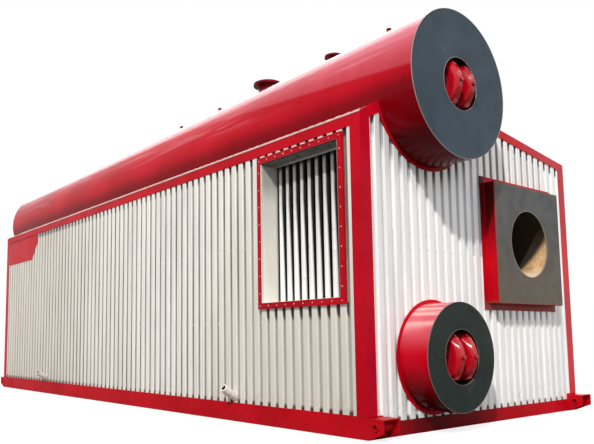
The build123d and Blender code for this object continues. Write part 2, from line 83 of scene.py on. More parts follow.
forward = Vector((sin(AZIMUTH) * cos(ELEVATION), cos(AZIMUTH) * cos(ELEVATION), sin(ELEVATION)))
flat_right = Vector((cos(AZIMUTH), -sin(AZIMUTH), 0))
flat_up = flat_right.cross(forward)
right = flat_right * cos(ROLL) + flat_up * sin(ROLL)
up = flat_up * cos(ROLL) - flat_right * sin(ROLL)
camera_data = bpy.data.cameras.new("camera")
camera_data.sensor_width = SENSOR_WIDTH
camera_data.lens = FOCAL_PX * SENSOR_WIDTH / IMAGE_WIDTH
camera_data.shift_x = (IMAGE_WIDTH / 2 - CENTRE_U) / IMAGE_WIDTH
camera_data.shift_y = (CENTRE_V - IMAGE_HEIGHT / 2) / IMAGE_WIDTH
camera_data.clip_end = 300.0
camera = bpy.data.objects.new("camera", camera_data)
turn = Matrix((right, up, -forward)).transposed().to_4x4()
camera.matrix_world = Matrix.Translation(CAMERA_PLACE) @ turn
bpy.context.scene.collection.objects.link(camera)
bpy.context.scene.camera = camera
bpy.context.scene.view_settings.view_transform = "Standard"


class Shader:
    """A node material with one Principled shader, and short calls for the nodes that feed it."""

    def __init__(self, name, **uniform):
        self.material = bpy.data.materials.new(name)
        self.material.use_nodes = True
        self.tree = self.material.node_tree
        self.tree.nodes.clear()
        self.output = self.tree.nodes.new("ShaderNodeOutputMaterial")
        self.bsdf = self.tree.nodes.new("ShaderNodeBsdfPrincipled")
        self.tree.links.new(self.bsdf.outputs[0], self.output.inputs["Surface"])
        self.place = self.node("ShaderNodeTexCoord").outputs["Object"]
        for key, value in uniform.items():
            self.bsdf.inputs[key.replace("_", " ")].default_value = value

    def node(self, kind, **settings):
        made = self.tree.nodes.new(kind)
        for key, value in settings.items():
            setattr(made, key, value)
        return made

    def feed(self, socket, value):
        if isinstance(value, bpy.types.NodeSocket):
            self.tree.links.new(value, socket)
        else:
            socket.default_value = value

    def stretch(self, x, y, z):
        """The place, scaled along each axis."""
        made = self.node("ShaderNodeMapping")
        self.feed(made.inputs["Vector"], self.place)
        made.inputs["Scale"].default_value = (x, y, z)
        return made.outputs[0]

    def noise(self, scale, detail=3.0, rough=0.55, place=None, distortion=0.0):
        made = self.node("ShaderNodeTexNoise")
        self.feed(made.inputs["Vector"], place or self.place)
        made.inputs["Scale"].default_value = scale
        made.inputs["Detail"].default_value = detail
        made.inputs["Roughness"].default_value = rough
        made.inputs["Distortion"].default_value = distortion
        return made.outputs["Fac"]

    def math(self, operation, *values):
        made = self.node("ShaderNodeMath", operation=operation)
        for socket, value in zip(made.inputs, values):
            self.feed(socket, value)
        return made.outputs[0]

    def times(self, product, *factors):
        for factor in factors:
            product = self.math("MULTIPLY", product, factor)
        return product

    def largest(self, value, *others):
        for other in others:
            value = self.math("MAXIMUM", value, other)
        return value

    def length(self, a, b):
        """Length of the vector with these two components."""
        return self.math("SQRT", self.math("ADD", self.math("POWER", a, 2.0), self.math("POWER", b, 2.0)))

    def axis(self, index):
        if not hasattr(self, "split"):
            self.split = self.node("ShaderNodeSeparateXYZ")
            self.feed(self.split.inputs[0], self.place)
        return self.split.outputs[index]

    def past(self, index, place):
        """Signed distance past a place along one axis."""
        return self.math("SUBTRACT", self.axis(index), place)

    def off(self, index, place):
        """Distance from a place along one axis, to either side."""
        return self.math("ABSOLUTE", self.past(index, place))

    def span(self, value, low, high, to_low=0.0, to_high=1.0, smooth=True):
        """The value mapped from low..high, clamped."""
        made = self.node("ShaderNodeMapRange", interpolation_type="SMOOTHSTEP" if smooth else "LINEAR")
        self.feed(made.inputs["Value"], value)
        made.inputs["From Min"].default_value = low
        made.inputs["From Max"].default_value = high
        made.inputs["To Min"].default_value = to_low
        made.inputs["To Max"].default_value = to_high
        return made.outputs[0]

    def negative_side(self, index):
        """1 on the left or in front, by the axis, and 0 on the other side."""
        return self.span(self.axis(index), -0.1, 0.1, 1.0, 0.0)

    def by_drum(self, lower, upper):
        """One value at the lower drum's height and another at the upper drum's."""
        return self.span(self.axis(2), *BETWEEN_DRUMS, lower, upper)

    def drum_distance(self):
        """Distance from the axis of the nearer drum."""
        return self.length(self.past(0, DRUM_X), self.past(2, self.by_drum(LOWER_Z, UPPER_Z)))

    def blend(self, factor, a, b):
        made = self.node("ShaderNodeMix", data_type="RGBA")
        self.feed(made.inputs[0], factor)
        self.feed(made.inputs[6], a if isinstance(a, bpy.types.NodeSocket) else (*a, 1.0))
        self.feed(made.inputs[7], b if isinstance(b, bpy.types.NodeSocket) else (*b, 1.0))
        return made.outputs[2]

    def coat(self, factor, tint):
        """Lays a tint over the colour so far, as thickly as the factor says."""
        self.color = self.blend(factor, self.color, tint)

    def roughen(self, factor, least):
        """Keeps the roughness from falling under a share of the factor."""
        self.rough = self.largest(self.rough, self.times(factor, least))

    def soft_edge(self, radius):
        """Normal with the sharp edges rounded off to the radius."""
        made = self.node("ShaderNodeBevel", samples=4)
        made.inputs["Radius"].default_value = radius
        return made.outputs[0]

    def bump(self, height, distance, strength=1.0, under=None):
        made = self.node("ShaderNodeBump")
        self.feed(made.inputs["Height"], height)
        made.inputs["Distance"].default_value = distance
        made.inputs["Strength"].default_value = strength
        if under is not None:
            self.feed(made.inputs["Normal"], under)
        return made.outputs[0]

    def finish(self):
        self.feed(self.bsdf.inputs["Base Color"], self.color)
        self.feed(self.bsdf.inputs["Roughness"], self.rough)
        self.feed(self.bsdf.inputs["Normal"], self.normal)
        return self.material


def drum_form(s, streaks):
    """Painted shade on the underside and in the openings, a painted pink sky reflection over the lit top
    edged along the drum, and painted reflection streaks.
    """
    away = s.drum_distance()
    is_upper, is_lower = s.by_drum(0.0, 1.0), s.by_drum(1.0, 0.0)
    rise = s.math("DIVIDE", s.past(2, s.by_drum(LOWER_Z, UPPER_Z)), away)
    # Painted shade: each drum's lower side is darkened as if turned away from the light
    shade_under_upper = s.largest(s.span(rise, -0.22, 0.06, 0.60, 0.0), s.span(rise, -0.80, -0.35, 0.90, 0.0))
    shade_under_lower = s.span(rise, -0.85, 0.02, 0.96, 0.0)
    under = s.largest(s.times(shade_under_upper, is_upper), s.times(shade_under_lower, is_lower))
    s.coat(under, (0.050, 0.0006, 0.0015))
    # Painted reflection: a pink tint over the top of the lit side, with a step at its edge along the drum;
    # the sheen is kept to the lit side too
    sunny = s.span(s.axis(0), DRUM_X - 0.42, DRUM_X + 0.10, 1.0, 0.12)
    reflection_edge = s.math("MULTIPLY_ADD", s.axis(1), REFLECTION_EDGE_SLOPE, REFLECTION_EDGE_LEVEL)
    past_reflection_edge = s.math("ADD", rise, s.times(reflection_edge, is_upper))
    step = s.times(s.span(past_reflection_edge, -0.01, 0.05, 0.0, 0.30), is_upper)
    reflection_tint = s.math("ADD", step, s.span(past_reflection_edge, 0.02, 0.70, 0.0, 0.65))
    reflection_tint = s.largest(reflection_tint, s.span(rise, 0.45, 0.90, 0.0, 0.60))
    s.coat(s.times(reflection_tint, s.span(streaks, 0.30, 0.65, 1.0, 0.85), sunny), (0.76, 0.20, 0.26))
    # Painted reflection: pink streaks along the upper drum's lit top
    reflection_streaks = s.span(s.noise(7.0, 3.0, 0.6, s.stretch(1.0, 0.06, 1.0)), 0.52, 0.62, 0.0, 0.30)
    s.coat(s.times(reflection_streaks, s.span(rise, 0.05, 0.30), is_upper, sunny), (0.80, 0.26, 0.32))
    # Painted reflection: pale lines on the lower drum's top where the ribbed front wall would be mirrored
    wall_reflection_lines = s.span(s.noise(9.0, 2.0, 0.5, s.stretch(1.0, 0.05, 1.0)), 0.40, 0.58)
    s.coat(s.times(wall_reflection_lines, is_lower, s.span(rise, 0.30, 0.75, 0.0, 0.75)), (0.92, 0.60, 0.56))
    # Painted shade: near black inside the manhole bores
    bore_shade = s.span(away, OPENING_R + 0.004, OPENING_R + 0.006, 1.0, 0.0)
    s.coat(bore_shade, (0.018, 0.005, 0.004))
    s.roughen(bore_shade, 0.8)
    s.feed(s.bsdf.inputs["Sheen Weight"], s.times(s.span(rise, 0.10, 0.50, 0.0, 0.8), sunny))
    s.bsdf.inputs["Sheen Tint"].default_value = (1.0, 0.62, 0.66, 1.0)
    s.bsdf.inputs["Sheen Roughness"].default_value = 0.28


def yoke_form(s, streaks):
    """Sides of the yokes rounded from foot to arch."""
    foot = s.by_drum(CREST_Y + LOWER_OUT - YOKE_FOOT, CREST_Y + UPPER_OUT - YOKE_FOOT)
    depth = s.math("SUBTRACT", s.math("ABSOLUTE", s.axis(1)), foot)
    along = s.math("DIVIDE", s.past(2, s.by_drum(LOWER_Z, UPPER_Z)), YOKE_HALF_HEIGHT)
    arch = s.math("MULTIPLY_ADD", s.math("POWER", along, 2.0), -YOKE_ARCH, YOKE_CROWN)
    bulge = s.math("SINE", s.times(s.math("DIVIDE", depth, arch), pi))
    s.normal = s.bump(bulge, 0.028, 1.0, s.normal)


def trim_form(s, streaks):
    """A painted sheen on the front trims to the right, painted shade on the near corner's front face, and
    shade low on the upper drum's ring.
    """
    in_front = s.span(s.axis(1), -HALF_LENGTH - 0.002, -HALF_LENGTH + 0.002, 1.0, 0.0)
    # Painted highlight: a paler sheen on the front trims towards the right
    painted_sheen = s.span(s.axis(0), 0.0, 1.6, 0.0, 0.42)
    s.coat(s.times(painted_sheen, in_front, s.span(streaks, 0.30, 0.65, 1.0, 0.75)), (0.78, 0.26, 0.28))
    # Painted shade: the front face of the near corner trim is darker than its side face
    s.coat(s.times(s.span(s.axis(0), -1.62, -1.56, 0.50, 0.0), in_front), (0.34, 0.003, 0.030))
    edge = UPPER_R + RING_WIDTH + 0.004
    in_ring = s.span(s.drum_distance(), edge, edge + 0.002, 1.0, 0.0)
    low = s.span(s.axis(2), UPPER_Z - 0.62, UPPER_Z - 0.40, 0.85, 0.0)
    s.coat(s.times(in_ring, in_front, low, s.by_drum(0.0, 1.0)), (0.110, 0.006, 0.008))


def cross_member_form(s, streaks):
    """Painted shadow: a dark stretch under the lower drum."""
    near_drum = s.span(s.off(0, DRUM_X + 0.15), 0.35, 1.05, 0.80, 0.0)
    s.coat(s.times(near_drum, s.span(streaks, 0.25, 0.60, 0.85, 1.0)), (0.040, 0.002, 0.003))


def box_form(s, streaks):
    """Painted shadow of the upper drum on the upper left side, and a rusty lower ledge."""
    left, foot = BURNER_X - BURNER_HALF, BURNER_Z - BURNER_HALF
    # Painted shadow: the upper drum's shadow darkens the top of the box's left side
    side = s.span(s.axis(0), left + 0.001, left + 0.003, 1.0, 0.0)
    high = s.span(s.axis(2), BURNER_Z - 0.20, BURNER_Z + 0.42, 0.0, 0.88)
    s.coat(s.times(side, high), (0.020, 0.001, 0.002))
    ledge = s.span(s.axis(2), foot + 0.010, foot + 0.034, 1.0, 0.0)
    rusty = s.span(s.noise(26.0, 4.0, 0.65), 0.34, 0.62, 0.25, 0.95)
    s.coat(s.times(ledge, rusty), (0.150, 0.055, 0.035))


def window_form(s, streaks):
    """Silver inner faces with painted shade on the head, and specks."""
    inside = s.times(
        s.span(s.off(1, WINDOW_Y), WINDOW_HALF_W + 0.001, WINDOW_HALF_W + 0.003, 1.0, 0.0),
        s.span(s.off(2, WINDOW_Z), WINDOW_HALF_H + 0.001, WINDOW_HALF_H + 0.003, 1.0, 0.0),
    )
    s.coat(inside, (0.80, 0.77, 0.70))
    # Painted shade: the head of the opening is dark, as under a lintel
    head = s.span(s.past(2, RECESS_TOP), -0.004, -0.002)
    s.coat(s.times(inside, head), (0.045, 0.036, 0.030))
    s.coat(s.span(s.noise(95.0, 3.0, 0.7), 0.60, 0.68, 0.0, 0.6), (0.30, 0.06, 0.06))


def red_paint(name, light, dark, gloss, wave, form=None, splashes=0.0, specular=0.08, edge=0.003):
    """Gloss red paint: faint mottling, dust streaks, chips, orange peel, slow waves, and a form's grime,
    painted shade and painted highlights.
    """
    s = Shader(name, Specular_IOR_Level=specular)
    s.color = s.blend(s.span(s.noise(1.1, 4.0), 0.35, 0.68), dark, light)
    streaks = s.noise(6.0, 4.0, 0.6, s.stretch(1.0, 1.0, 0.12))
    s.coat(s.span(streaks, 0.58, 0.80, 0.0, 0.08), (0.26, 0.020, 0.020))
    if splashes:
        low = s.span(s.axis(2), 0.0, 0.17, 1.0, 0.0)
        s.coat(s.times(low, s.span(s.noise(9.0, 5.0, 0.65), 0.42, 0.72), splashes), (0.20, 0.030, 0.025))
    chips = s.span(s.noise(34.0, 3.0, 0.7), 0.745, 0.770)
    s.coat(s.times(chips, 0.45), (0.22, 0.05, 0.04))
    s.rough = s.span(s.noise(3.2, 5.0, 0.6), 0.30, 0.75, gloss, gloss + 0.14)
    if form is drum_form:
        waves = s.noise(2.6, 2.0, 0.4, s.stretch(1.0, 0.10, 1.0))
    else:
        waves = s.noise(1.7, 2.0, 0.4)
    s.normal = s.bump(waves, wave, 1.0, s.soft_edge(edge))
    if form:
        form(s, streaks)
    s.normal = s.bump(s.noise(240.0, 2.0), 0.0004, 0.35, s.normal)
    return s.finish()


def side_shade(s, sunk):
    """Dulls the far sheets and the low near ones. Returns the shade under the eave and the left window."""
    trim_foot = s.span(s.axis(0), -0.1, 0.1, EAVE_LEFT - TRIM_DROP, EAVE_RIGHT - TRIM_DROP)
    eave = s.span(s.past(2, trim_foot), -0.090, -0.040)
    sill = WINDOW_Z - WINDOW_HALF_H - 0.06
    ragged = s.math("ADD", s.axis(2), s.times(sunk, 0.06))
    window = s.times(
        s.span(s.off(1, WINDOW_Y), WINDOW_HALF_W + 0.05, WINDOW_HALF_W + 0.07, 1.0, 0.0),
        s.span(ragged, sill - 0.08, sill - 0.02),
        s.span(s.axis(2), sill + 0.01, sill + 0.02, 1.0, 0.0),
        s.negative_side(0),
    )
    far = s.span(s.axis(1), -0.8, 4.2, 0.0, 0.45)
    near = s.times(s.span(s.axis(1), -3.6, -1.2, 1.0, 0.0), s.span(s.axis(2), 0.5, 2.3, 0.60, 0.10))
    s.coat(s.largest(far, near), (0.66, 0.61, 0.52))
    return s.largest(eave, window)


def end_shade(s, sunk):
    """Paints the upper drum's shadow grey into the front valleys. Returns the shade under gable, upper ring
    and box.
    """
    left_slope = s.math("MULTIPLY_ADD", s.axis(0), tan(SHOULDER), EAVE_LEFT + HALF_WIDTH * tan(SHOULDER))
    right_slope = s.math("MULTIPLY_ADD", s.axis(0), -tan(ROOF), EAVE_RIGHT + HALF_WIDTH * tan(ROOF))
    top = s.math("MINIMUM", left_slope, right_slope)
    gable = s.span(s.past(2, top), -TRIM_DROP - 0.090, -TRIM_DROP - 0.045)
    is_upper, in_front = s.by_drum(0.0, 1.0), s.negative_side(1)
    edge = UPPER_R + RING_WIDTH
    ring = s.times(
        s.span(s.drum_distance(), edge + 0.005, edge + 0.190, 0.95, 0.0),
        s.span(s.axis(0), DRUM_X - 0.45, DRUM_X + 0.05, 0.40, 1.0),
        is_upper,
    )
    foot = BURNER_Z - BURNER_HALF
    ragged = s.math("ADD", s.axis(2), s.times(sunk, 0.05))
    box = s.times(
        s.span(s.off(0, BURNER_X), BURNER_HALF - 0.02, BURNER_HALF + 0.01, 0.62, 0.0),
        s.span(ragged, foot - 0.15, foot - 0.09),
        in_front,
    )
    # Painted shadow: grey in the front valleys above the line where the upper drum's shadow ends
    drum_shadow = s.math("ADD", s.axis(2), s.times(s.axis(0), DRUM_SHADOW_SLOPE))
    runs = s.times(
        s.span(drum_shadow, DRUM_SHADOW_LEVEL - 0.05, DRUM_SHADOW_LEVEL + 0.05),
        is_upper,
        s.span(s.axis(0), 0.52, 0.62, 1.0, 0.0),
        in_front,
        s.span(sunk, 0.06, 0.46, 0.0, 0.72),
    )
    s.coat(runs, (0.430, 0.460, 0.500))
    return s.largest(gable, ring, box)


def casing_sheet(name, along, valley_shade, crest, foot):
    """Silver-white ribbed sheet: dust and painted shade in the valleys, vertical streaks, grime near the
    base, painted shade at the valley feet and on the inner faces.
    """
    s = Shader(name, Metallic=0.12, Specular_IOR_Level=0.4)
    on_side = along == 0
    crest_at = CREST_X if on_side else CREST_Y
    runs = s.noise(7.0, 4.0, 0.6, s.stretch(1.0, 1.0, 0.09))
    s.color = s.blend(s.span(runs, 0.35, 0.70), crest, tuple(0.86 * c for c in crest))
    sheets = s.noise(0.9, 1.0, 0.5, s.stretch(1.0, 1.0, 0.02))
    s.coat(s.span(sheets, 0.42, 0.60, 0.0, 0.20), (0.94, 0.925, 0.885))
    outward = s.math("ABSOLUTE", s.axis(along))
    sunk = s.math("DIVIDE", s.math("SUBTRACT", crest_at, outward), RIB_DEPTH)
    if on_side:
        sunk = s.math("ADD", sunk, s.span(s.axis(1), -1.5, 2.5, 0.0, 0.42))
    # Dust and painted shade in the valleys, much stronger on the side walls than on the end walls
    uneven = s.span(s.noise(3.0, 3.0, 0.5, s.stretch(1.0, 1.0, 0.3)), 0.25, 0.75, 0.75, 1.0)
    s.coat(s.times(s.span(sunk, 0.28, 0.92), valley_shade, uneven), (0.080, 0.062, 0.038))
    shade = side_shade(s, sunk) if on_side else end_shade(s, sunk)
    in_valley = s.span(sunk, 0.15, 0.70, 0.0, 0.95)
    s.coat(s.times(shade, in_valley), (0.030, 0.018, 0.016))
    if on_side:
        behind_plate = s.times(
            s.span(s.axis(1), PLATE_FRONT - 0.010, PLATE_FRONT - 0.005),
            s.negative_side(0),
            s.span(s.off(2, EAVE_LEFT - TRIM_DROP), 0.034, 0.036, 1.0, 0.0),
        )
        s.coat(behind_plate, (0.50, 0.003, 0.013))
    # Painted shade: dark red in the valleys at the foot, where they open over the base
    foot_shade = s.span(s.axis(2), foot + 0.016, foot + 0.052, 1.0, 0.0)
    s.coat(s.times(foot_shade, in_valley), (0.045, 0.005, 0.005))
    low = s.span(s.axis(2), DECK_TOP, DECK_TOP + 0.22, 1.0, 0.0)
    s.coat(s.times(low, s.span(s.noise(11.0, 5.0, 0.65), 0.44, 0.74), 0.28), (0.34, 0.28, 0.22))
    s.coat(s.times(s.span(s.noise(85.0, 2.0, 0.7), 0.70, 0.76), 0.20), (0.45, 0.41, 0.36))
    # Painted shade: the sheets' inner faces inside the casing are near black
    inside = crest_at - DARK_INSIDE
    inner_face = s.span(outward, inside - 0.004, inside + 0.004, 1.0, 0.0)
    s.coat(inner_face, (0.035, 0.030, 0.026))
    s.rough = s.span(s.noise(5.0, 4.0), 0.3, 0.75, 0.30, 0.46)
    s.roughen(inner_face, 0.85)
    slow = s.bump(s.noise(2.2, 2.0, 0.4, s.stretch(1.0, 1.0, 0.6)), 0.003, 1.0, s.soft_edge(0.008))
    s.normal = s.bump(s.noise(320.0, 2.0), 0.0002, 0.3, slow)
    return s.finish()


def roof_paint():
    """The casing's sheet on the roof, streaked down the slope and stained."""
    s = Shader("roof_sheet", Metallic=0.18)
    runs = s.noise(7.0, 4.0, 0.6, s.stretch(0.12, 1.0, 1.0))
    s.color = s.blend(s.span(runs, 0.35, 0.70), (0.80, 0.79, 0.765), (0.66, 0.64, 0.60))
    s.coat(s.span(s.noise(3.0, 5.0, 0.6), 0.50, 0.75, 0.0, 0.35), (0.40, 0.36, 0.31))
    s.rough = s.span(s.noise(5.0, 4.0), 0.3, 0.75, 0.32, 0.50)
    s.normal = s.bump(s.noise(300.0, 2.0), 0.0002, 0.3)
    return s.finish()


def cover_paint():
    """Satin dark grey paint on the round end covers, with a greener, darker copy on the lower drum as
    painted shade.
    """
    s = Shader("cover_paint", Specular_IOR_Level=0.2)
    tone = s.span(s.noise(2.4, 5.0, 0.6), 0.32, 0.70)
    upper = s.blend(tone, (0.037, 0.061, 0.084), (0.024, 0.042, 0.060))
    lower = s.blend(tone, (0.012, 0.021, 0.018), (0.006, 0.010, 0.008))
    # Painted shade: the lower drum's covers take the darker, greener copy of the paint
    s.color = s.blend(s.by_drum(0.0, 1.0), lower, upper)
    rubs = s.noise(5.0, 4.0, 0.65, distortion=1.2)
    s.coat(s.span(rubs, 0.60, 0.74, 0.0, 0.18), (0.13, 0.14, 0.145))
    s.coat(s.span(s.noise(120.0, 2.0, 0.7), 0.69, 0.75, 0.0, 0.22), (0.14, 0.15, 0.15))
    # Pale worn edges on the covers' outer and inner rims, partly a painted highlight
    away = s.drum_distance()
    rim = s.by_drum(LOWER_R - 0.005, UPPER_R - 0.005)
    outer = s.span(s.math("SUBTRACT", away, rim), 0.0, 0.002)
    inner = s.span(away, OPENING_R + 0.002, OPENING_R + 0.006, 1.0, 0.0)
    s.coat(s.times(s.largest(outer, inner), s.by_drum(0.30, 0.70)), (0.46, 0.40, 0.36))
    s.rough = s.span(s.noise(6.0, 5.0, 0.6), 0.30, 0.70, 0.34, 0.52)
    slow = s.bump(s.noise(1.9, 2.0, 0.4), 0.003)
    s.normal = s.bump(s.noise(260.0, 2.0), 0.0003, 0.4, slow)
    return s.finish()


def plate_primer():
    """Matt grey-brown primer on the burner plate, rusty at the edges and round the port."""
    s = Shader("plate_primer", Specular_IOR_Level=0.4)
    tone = s.span(s.noise(2.0, 6.0, 0.6), 0.30, 0.72)
    s.color = s.blend(tone, (0.094, 0.094, 0.092), (0.060, 0.064, 0.066))
    s.coat(s.span(s.axis(2), BURNER_Z - 0.55, BURNER_Z + 0.45, 0.60, 0.0), (0.128, 0.096, 0.060))
    from_centre = s.largest(s.off(0, BURNER_X), s.off(2, BURNER_Z))
    ragged = s.math("ADD", from_centre, s.times(s.noise(14.0, 5.0, 0.65), 0.05))
    s.coat(s.span(ragged, 0.600, 0.640, 0.0, 0.85), (0.24, 0.075, 0.045))
    from_port = s.length(s.past(0, BURNER_X), s.past(2, PORT_Z))
    s.coat(s.span(from_port, BURNER_HOLE + 0.001, BURNER_HOLE + 0.010, 0.75, 0.0), (0.36, 0.32, 0.25))
    runs = s.noise(10.0, 5.0, 0.6, s.stretch(1.0, 1.0, 0.08))
    s.coat(s.span(runs, 0.56, 0.78, 0.0, 0.30), (0.17, 0.11, 0.07))
    s.rough = s.span(s.noise(7.0, 5.0), 0.3, 0.7, 0.48, 0.70)
    slow = s.bump(s.noise(2.4, 3.0), 0.003)
    s.normal = s.bump(s.noise(180.0, 3.0), 0.0004, 0.5, slow)
    return s.finish()


def refractory():
    """Rough castable in the burner throat, with a painted highlight low on the mouth and painted shade
    deeper in and over the upper left.
    """
    s = Shader("refractory", Specular_IOR_Level=0.2)
    grain = s.noise(16.0, 8.0, 0.7)
    s.color = s.blend(s.span(grain, 0.30, 0.70), (0.84, 0.56, 0.31), (0.56, 0.31, 0.14))
    s.coat(s.span(s.noise(3.3, 5.0, 0.6), 0.46, 0.66, 0.0, 0.6), (0.38, 0.16, 0.06))
    # Painted highlight: the lower edge of the mouth is paler, as if lit
    mouth = s.span(s.axis(2), PORT_Z - BURNER_HOLE, PORT_Z - 0.62 * BURNER_HOLE, 0.75, 0.0)
    s.coat(mouth, (0.95, 0.80, 0.62))
    # Painted shade deeper in the throat and over its upper left, where the port's rim casts its shadow
    deep = s.span(s.axis(1), -HALF_LENGTH + 0.02, -HALF_LENGTH + 0.36)
    inward = s.times(s.math("ADD", s.axis(1), HALF_LENGTH + 0.10), 1.3)
    high = s.span(s.math("ADD", s.axis(2), inward), PORT_Z, PORT_Z + 0.13)
    s.coat(s.times(s.largest(deep, high), 0.98), (0.020, 0.014, 0.010))
    s.rough = s.span(grain, 0.3, 0.7, 0.82, 0.95)
    height = s.math("ADD", s.noise(38.0, 6.0, 0.7), s.times(s.noise(7.0, 4.0), 1.6))
    s.normal = s.bump(height, 0.006)
    return s.finish()


def lay_recess_shade(s, recess_shade, top):
    """Painted shade, thicker towards the top of the recess."""
    recess_shade = s.largest(
        recess_shade,
        s.span(s.axis(2), top - 0.10, top - 0.02, 0.0, 0.95),
        s.span(s.axis(2), top - 0.46, top - 0.20, 0.0, 0.38),
    )
    s.coat(recess_shade, (0.012, 0.010, 0.009))
    s.roughen(recess_shade, 0.9)


def tube_form(s):
    """Painted shade on the tubes from a distance inside the left wall, a longer one low down."""
    # The painted shade starts deeper in low down, where more light reaches into the recess
    lit_low_shift = s.span(s.axis(2), WINDOW_Z - WINDOW_HALF_H, WINDOW_Z + 0.30, -0.016, 0.0096, smooth=False)
    inward = s.math("ADD", s.axis(0), lit_low_shift)
    lay_recess_shade(s, s.span(inward, -CREST_X + 0.180, -CREST_X + 0.198), RECESS_TOP)


def liner_form(s):
    """Painted shade deep in the recess and in patches on its ceiling."""
    back = s.span(s.axis(0), -CREST_X + 0.172, -CREST_X + 0.202)
    ceiling = s.span(s.axis(2), RECESS_TOP - 0.010, RECESS_TOP - 0.004, 0.0, 0.93)
    patches = s.span(s.noise(18.0, 4.0, 0.65), 0.30, 0.62, 1.0, 0.72)
    lay_recess_shade(s, s.largest(back, s.times(ceiling, patches)), RECESS_TOP + 0.04)


def stub_form(s):
    """Painted shade in the bores, and light rust on the drain stubs."""
    middle, half_apart = sum(STUBS_Y) / 2, (STUBS_Y[1] - STUBS_Y[0]) / 2
    off_y = s.math("SUBTRACT", s.off(1, middle), half_apart)
    across = s.math(
        "ADD", s.times(s.past(0, STUB_END_X), sin(STUB_LEAN)), s.times(s.past(2, STUB_END_Z), cos(STUB_LEAN))
    )
    # Painted shade: near black inside the stubs' bores
    s.coat(s.span(s.length(off_y, across), 0.0258, 0.0270, 1.0, 0.0), (0.016, 0.012, 0.010))
    low = s.span(s.axis(2), 0.24, 0.32, 0.7, 0.1)
    s.coat(s.times(s.span(s.noise(40.0, 4.0, 0.65), 0.46, 0.64), low), (0.20, 0.10, 0.05))


def silver_paint(name, light, dark, gloss, form, streak=0.10):
    """Silver paint, streaked and spotted, with a form's painted shade and grime."""
    s = Shader(name, Metallic=0.10)
    tone = s.noise(8.0, 5.0, 0.6, s.stretch(1.0, 1.0, streak))
    s.color = s.blend(s.span(tone, 0.35, 0.70), light, dark)
    s.coat(s.span(s.noise(46.0, 3.0, 0.7), 0.66, 0.76, 0.0, 0.35), (0.38, 0.33, 0.28))
    s.rough = s.span(s.noise(6.0, 4.0), 0.3, 0.7, gloss, gloss + 0.16)
    form(s)
    s.normal = s.bump(s.noise(210.0, 3.0), 0.0003, 0.4, s.soft_edge(0.002))
    return s.finish()


def zinc_plating():
    """Zinc-plated steel with a little rust."""
    s = Shader("zinc", Metallic=0.9)
    tint = (0.74, 0.73, 0.71)
    s.color = s.blend(s.span(s.noise(60.0, 5.0, 0.6), 0.35, 0.70), tint, tuple(0.72 * c for c in tint))
    s.coat(s.span(s.noise(22.0, 5.0, 0.65), 0.60, 0.72, 0.0, 0.45), (0.28, 0.14, 0.07))
    s.rough = s.span(s.noise(90.0, 3.0), 0.3, 0.7, 0.26, 0.46)
    s.normal = s.bump(s.noise(400.0, 2.0), 0.0002, 0.4)
    return s.finish()


def studio_floor():
    """Pale matt floor that keeps a light shadow and fades to the white background."""
    s = Shader("studio_floor", Base_Color=(0.24, 0.24, 0.24, 1.0), Roughness=0.9, Specular_IOR_Level=0.1)
    ray = s.node("ShaderNodeLightPath")
    glow = s.node("ShaderNodeEmission")
    s.feed(glow.inputs["Strength"], s.times(ray.outputs["Is Camera Ray"], 0.80))
    near = s.node("ShaderNodeAddShader")
    s.feed(near.inputs[0], s.bsdf.outputs[0])
    s.feed(near.inputs[1], glow.outputs[0])
    from_middle = s.length(s.axis(0), s.axis(1))
    for_camera = s.times(s.span(from_middle, 5.5, 15.0), ray.outputs["Is Camera Ray"])
    for_gloss = s.times(s.span(from_middle, 14.0, 45.0), ray.outputs["Is Glossy Ray"])
    white = s.node("ShaderNodeEmission")
    white.inputs["Color"].default_value = (1.0, 1.0, 1.0, 1.0)
    fade = s.node("ShaderNodeMixShader")
    s.feed(fade.inputs[0], s.largest(for_camera, for_gloss))
    s.feed(fade.inputs[1], near.outputs[0])
    s.feed(fade.inputs[2], white.outputs[0])
    s.feed(s.output.inputs["Surface"], fade.outputs[0])
    return s.material


red_sheet = red_paint("red_sheet", (0.62, 0.003, 0.016), (0.48, 0.001, 0.010), 0.28, 0.004, trim_form)
red_drum = red_paint(
    "red_drum", (0.60, 0.003, 0.018), (0.48, 0.001, 0.010), 0.05, 0.003, drum_form, specular=0.06
)
red_box = red_paint("red_box", (0.62, 0.003, 0.014), (0.46, 0.001, 0.009), 0.26, 0.003, box_form)
# Painted shade: a much darker red for the drum's nozzles and couplings
red_fitting_shaded = red_paint("red_fitting_shaded", (0.20, 0.003, 0.008), (0.11, 0.002, 0.005), 0.34, 0.001, edge=0.002)
red_cross = red_paint(
    "red_cross", (0.58, 0.003, 0.013), (0.44, 0.002, 0.008), 0.32, 0.002, cross_member_form
)
red_surround = red_paint(
    "red_surround", (0.56, 0.003, 0.014), (0.40, 0.001, 0.009), 0.28, 0.001, window_form
)
red_frame = red_paint("red_frame", (0.60, 0.003, 0.013), (0.46, 0.002, 0.008), 0.32, 0.002, splashes=0.30)
red_casting = red_paint(
    "red_casting", (0.50, 0.002, 0.010), (0.34, 0.001, 0.005), 0.08, 0.002, specular=0.7, edge=0.018
)
red_yoke = red_paint(
    "red_yoke", (0.62, 0.003, 0.016), (0.44, 0.001, 0.008), 0.13, 0.001, yoke_form, specular=0.45, edge=0.010
)
weld_red = red_paint("weld_red", (0.50, 0.003, 0.012), (0.34, 0.004, 0.010), 0.34, 0.0005, edge=0.001)
# Painted shade: the drum heads at the back of the manhole wells are near black
head_in_shade = red_paint("head_in_shade", (0.090, 0.006, 0.006), (0.040, 0.004, 0.004), 0.42, 0.002)
